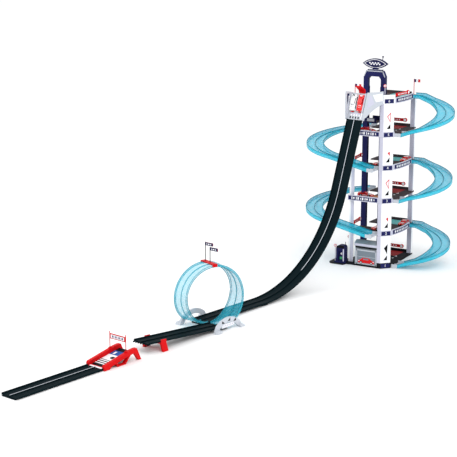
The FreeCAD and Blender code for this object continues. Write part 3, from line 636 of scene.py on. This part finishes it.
LIFT_X, LIFT_Y, RAIL_TOP = 185.0, 141.0, 800.0
ARCH_FOOT, ARCH_HEAD = (54, 46), (42, 72)     # slope of the arch: half width and height above the rails
caps = Shape()
for x0, x1 in ((174.4, 175), (195, 195.6)):
    (foot, low), (head, high) = ARCH_FOOT, ARCH_HEAD
    for ya, za, yb, zb in ((-foot, low, -head, high), (-head, high, head, high), (head, high, foot, low)):
        inward = Vector((0, 0, -4)) if za == zb else Vector((0, 3.4 if ya < 0 else -3.4, -2))
        edge = [(LIFT_Y + ya, RAIL_TOP + za), (LIFT_Y + yb, RAIL_TOP + zb)]
        outline = edge + [(y + inward.y, z + inward.z) for y, z in edge[::-1]]
        caps.prism(outline, x0, x1, GREY, axis="x")
caps.box((175.5, LIFT_Y - 36, 876.8), (194.5, LIFT_Y + 36, 877.6), GREY)
caps.rod((LIFT_X, LIFT_Y - 36, 936), (LIFT_X, LIFT_Y - 36, 939.5), 3.2, GREY, tip=1.0)
for y0, y1 in ((-54.4, -54), (54, 54.4)):
    caps.box((176, LIFT_Y + y0, 6), (194, LIFT_Y + y1, 799), DEEP_NAVY)
caps.piece("lift_caps", TOWER, bevel=0.1)

SIGN_Z = 904.0


def lens(scale_y, scale_z):
    """Pointed oval: two arcs meeting at the tips."""
    count = 20
    upper = []
    for i in range(count + 1):
        t = -1 + 2 * i / count
        upper.append((LIFT_Y + 62 * scale_y * t, SIGN_Z + 23 * scale_z * (1 - t * t)))
    lower = [(y, 2 * SIGN_Z - z) for y, z in upper[1:-1]]
    return upper + lower[::-1]


emblem = Shape()
outer, inner = lens(0.88, 0.84), lens(0.82, 0.74)
for x0, x1 in ((179.4, 180), (190, 190.6)):
    for i in range(len(outer)):
        j = (i + 1) % len(outer)
        emblem.prism([outer[i], outer[j], inner[j], inner[i]], x0, x1, PRINT_WHITE, axis="x")
    for k in range(4):
        for row in range(2):
            y, z = LIFT_Y - 26 + 14 * k + (7 if row else 0), SIGN_Z - 6 + 6 * row
            emblem.box((x0, y, z), (x1, y + 7, z + 6), PRINT_WHITE)
emblem.piece("sign_emblem", TOWER, bevel=0)

cabin = Shape()
cabin.box((144.4, LIFT_Y - 18, 644), (145, LIFT_Y + 18, 657), GREY)
cabin.box((147.2, LIFT_Y - 20, 640), (222.8, LIFT_Y + 20, 640.5), DARK_GREY)
cabin.piece("lift_cabin_label", TOWER, body="lift_cabin", bevel=0.1)

# ------------------------------------------------------------------ garage front and charging station

door = Shape()
door.box((7.0, 34, 9), (7.5, 131, 74), WINDOW)
for y0, y1, z0, z1 in ((33, 132, 8, 12), (33, 132, 70, 75), (33, 37, 8, 75), (128, 132, 8, 75),
                       (33, 132, 42, 43.5)):
    door.box((6.4, y0, z0), (7.4, y1, z1), GREY)
silhouette = [(42, 14), (122, 14), (124, 24), (112, 28), (100, 38), (68, 38), (54, 28), (41, 25)]
door.prism(silhouette, 6.5, 7.0, PRINT_RED, axis="x")
door.prism([(70, 29), (98, 29), (96, 35), (72, 35)], 6.2, 6.6, WINDOW, axis="x")
for y in (56, 108):
    door.rod((6.5, y, 16), (6.1, y, 16), 6, PRINT_BLACK, sides=24)
    door.rod((6.1, y, 16), (5.8, y, 16), 3, PRINT_WHITE, sides=20)
for y in (46, 118):
    door.box((6.1, y - 3, 21), (6.5, y + 3, 24), PRINT_WHITE)
door.piece("garage_front_print", TOWER, body="garage_door", bevel=0.1)

garage = Shape()
garage.box((5.3, 28, 83), (6, 137, 91), PRINT_BLACK)
garage.box((5.3, 27.5, 5), (6, 31, 83), GREY)
garage.box((5.3, 134, 5), (6, 137.5, 83), GREY)
garage.box((-0.6, 27, 94), (0, 138, 104), LAVENDER_AND_SHADE)
garage.piece("garage_trim", TOWER, bevel=0.15)

station = Shape()
station.box((1.2, 196.4, 14.4), (2, 215.6, 59.6), NAVY)
station.prism([(201, 38), (211, 45), (201, 52)], 0.8, 1.3, PRINT_WHITE, axis="x")
station.box((0.8, 199, 18), (1.3, 213, 30), PRINT_GREEN)
station.prism([(184, 74), (190, 84), (200, 86.0), (212, 86.0), (222, 82), (228, 72)], -8.6, -8, PRINT_BLACK,
              axis="x")
station.box((-8.6, 188, 8), (-8, 193, 70), LAVENDER_AND_SHADE)
station.rod((12, 190, 86), (12, 190, 100), 1.2, PRINT_BLACK, sides=12)
station.piece("charging_station_print", TOWER, bevel=0.1)

# ------------------------------------------------------------------ cars

AXLES = (13.0, 54.0)


def car_trim(shape, main, accent, wheels=True):
    """Windows, lights, stripes and grille on a car whose nose is at x = 0; wheels where they do not turn."""
    half_car = 14.5
    glass = half_car - 3.3
    for window in ([(27, 14.2), (33, 18.6), (38, 18.9), (38, 14.6)],
                   [(40, 14.8), (40, 18.9), (50, 18.7), (56, 15.4)]):
        shape.prism(window, -glass, glass, GLASS_DARK, axis="y")
    for y0, y1 in ((-5.5, -1.2), (1.2, 5.5)):
        stripe = [(2, 9.6), (14, 12.9), (25, 13.9), (25, 13.0), (14, 12.0), (2, 8.6)]
        shape.prism(stripe, y0, y1, accent, axis="y")
        shape.prism([(63, 17.2), (69, 17.2), (69, 18.0), (63, 18.0)], y0, y1, accent, axis="y")
    for s in (-1, 1):
        shape.box((-0.4, 9 * s - 3, 7.4), (3.0, 9 * s + 3, 9.6), LAMP)
        tail = PRINT_RED if main is PAINT_WHITE else DARK_RED
        shape.box((69, 9 * s - 3.5, 9.5), (70.6, 9 * s + 3.5, 12), tail)
        shape.box((20, (half_car + 0.3) * s - 0.3, 7), (46, (half_car + 0.3) * s + 0.3, 9.5), accent)
    shape.box((-0.5, -5, 4.6), (2, 5, 7), PRINT_BLACK)
    if wheels:
        for x in AXLES:
            for s in (-1, 1):
                a, b = sorted((9 * s, 14.3 * s))
                shape.rod((x, a, 5.5), (x, b, 5.5), 5.6, RUBBER, sides=28)
                shape.rod((x, 14.3 * s, 5.5), (x, 14.6 * s, 5.5), 3.2, METAL, sides=20)


# level, place and heading of each parked car
PARKED = [(5, 95, 98, 90), (3, 95, 98, 90),
          (4, 78, 86, -35), (2, 78, 86, -35),
          (4, 222, 10, 4), (2, 222, 10, 4),
          (6, 62, 18, 60)]
for index, (level, x, y, turn) in enumerate(PARKED):
    trim = Shape()
    car_trim(trim, PAINT_RED, PRINT_WHITE)
    spot = Matrix.Translation((x, y, level_z(level) + FLOOR)) @ Matrix.Rotation(math.radians(turn), 4, "Z")
    trim.piece("parked_car_trim_%d" % (index + 1), TOWER @ spot, bevel=0.15)

CAR_AT, WHEEL_Z = 39.0, 5.8
for name, lane, main, accent in (("red", -LANE, PAINT_RED, PRINT_WHITE),
                                 ("white", LANE, PAINT_WHITE, PRINT_BLACK)):
    place = SLOPE @ Matrix.Translation((CAR_AT, lane, 0))
    trim = Shape()
    car_trim(trim, main, accent, wheels=False)
    trim.piece("%s_car_trim" % name, place, body="%s_car" % name, bevel=0.15)
    for end, x in zip(("front", "rear"), AXLES):
        hubs = Shape()
        for s in (-1, 1):
            hubs.rod((x, 14.0 * s, WHEEL_Z), (x, 14.3 * s, WHEEL_Z), 3.4, METAL, sides=24)
            for k in range(5):
                a = 2 * math.pi * k / 5
                hole_x, hole_z = x + 2.0 * math.cos(a), WHEEL_Z + 2.0 * math.sin(a)
                hubs.rod((hole_x, 14.3 * s, hole_z), (hole_x, 14.45 * s, hole_z), 0.6, RUBBER, sides=10)
        hubs.piece("%s_car_%s_hubs" % (name, end), place, body="%s_car_%s_wheels" % (name, end), bevel=0)

# ------------------------------------------------------------------ start chute

CHUTE = 118.0
chute = Shape()
for k in range(5):
    chute.box((4, -33 + 14 * k, 0), (14, -27 + 14 * k, 0.4), PRINT_BLACK)
    chute.box((16, -36.5 + 14 * k, 0), (24, -30 + 14 * k, 0.4), WHITE)
chute.box((25, -36.5, 0), (29, 36.5, 0.4), LAVENDER_AND_SHADE)
for s in (-1, 1):
    chute.box((31, 38.5 * s - 1.5, 15), (CHUTE - 1, 38.5 * s + 1.5, 15.6), LAVENDER_AND_SHADE)
    chute.box((2, 41.5 * s - 1.4, 17), (28, 41.5 * s + 1.4, 17.5), WHITE)
chute.prism([(60, 24), (90, 36), (104, 40), (108, 24)], 39.3, 40.0, DEEP_NAVY, axis="y")
chute.prism([(74, 20), (96, 28), (100, 18)], 39.2, 39.4, PRINT_WHITE, axis="y")
chute.piece("launch_chute_print", SLOPE, bevel=0.1)

bracket = Shape()
wall_y = IN_Y - HALF - 6.2
bracket.prism([(-128, 742), (-112, 796), (-96, 796), (-70, 758)], wall_y - 0.5, wall_y, LAVENDER_AND_SHADE, axis="y")
bracket.prism([(-60, 764), (-84, 798), (-10, 798), (-8, 764)], wall_y - 0.5, wall_y, WHITE, axis="y")
bracket.piece("launch_bracket_print", TRACK, bevel=0.1)

# ------------------------------------------------------------------ stage, light and camera


def stage():
    mesh = bpy.data.meshes.new("floor")
    wide = 30.0
    corners = [(-wide, -wide, 0), (wide, -wide, 0), (wide, wide, 0), (-wide, wide, 0)]
    mesh.from_pydata(corners, [], [(0, 1, 2, 3)])
    floor = bpy.data.objects.new("stage_floor", mesh)
    bpy.context.scene.collection.objects.link(floor)
    floor.location.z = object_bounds()[0].z - 0.0005
    mesh.materials.append(moulded("stage_floor_look", (0.95, 0.95, 0.955), rough=0.9, wear=0.0, tint=0.004,
                                  bump=0.02, shine=0.0))
    floor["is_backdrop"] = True
    world = bpy.data.worlds.new("studio")
    world.use_nodes = True
    world.node_tree.nodes["Background"].inputs["Color"].default_value = (1.0, 1.0, 1.0, 1)
    world.node_tree.nodes["Background"].inputs["Strength"].default_value = 1.06
    bpy.context.scene.world = world


def soft_light(name, spot, aim, power, size):
    data = bpy.data.lights.new(name, "AREA")
    data.energy, data.size = power, size
    lamp = bpy.data.objects.new(name, data)
    lamp.location = spot
    lamp.rotation_euler = (Vector(aim) - Vector(spot)).to_track_quat("-Z", "Y").to_euler()
    bpy.context.scene.collection.objects.link(lamp)


def camera():
    data = bpy.data.cameras.new("camera")
    data.sensor_width = 36.0
    data.lens = 111.5
    data.clip_end = 100.0
    made = bpy.data.objects.new("camera", data)
    made.location = (-5.8355, -2.6927, 1.6199)
    yaw, pitch = math.radians(31.17), math.radians(13.0)
    ahead = Vector((math.cos(pitch) * math.cos(yaw), math.cos(pitch) * math.sin(yaw), -math.sin(pitch)))
    made.rotation_euler = ahead.to_track_quat("-Z", "Y").to_euler()
    bpy.context.scene.collection.objects.link(made)
    bpy.context.scene.camera = made


stage()
soft_light("key", (-4.0, -3.5, 4.5), (-0.6, 0, 0.3), 120, 3.0)
soft_light("fill", (-3.0, 4.0, 3.0), (-0.6, 0, 0.3), 40, 3.0)
camera()
bpy.context.scene.view_settings.view_transform = "Standard"
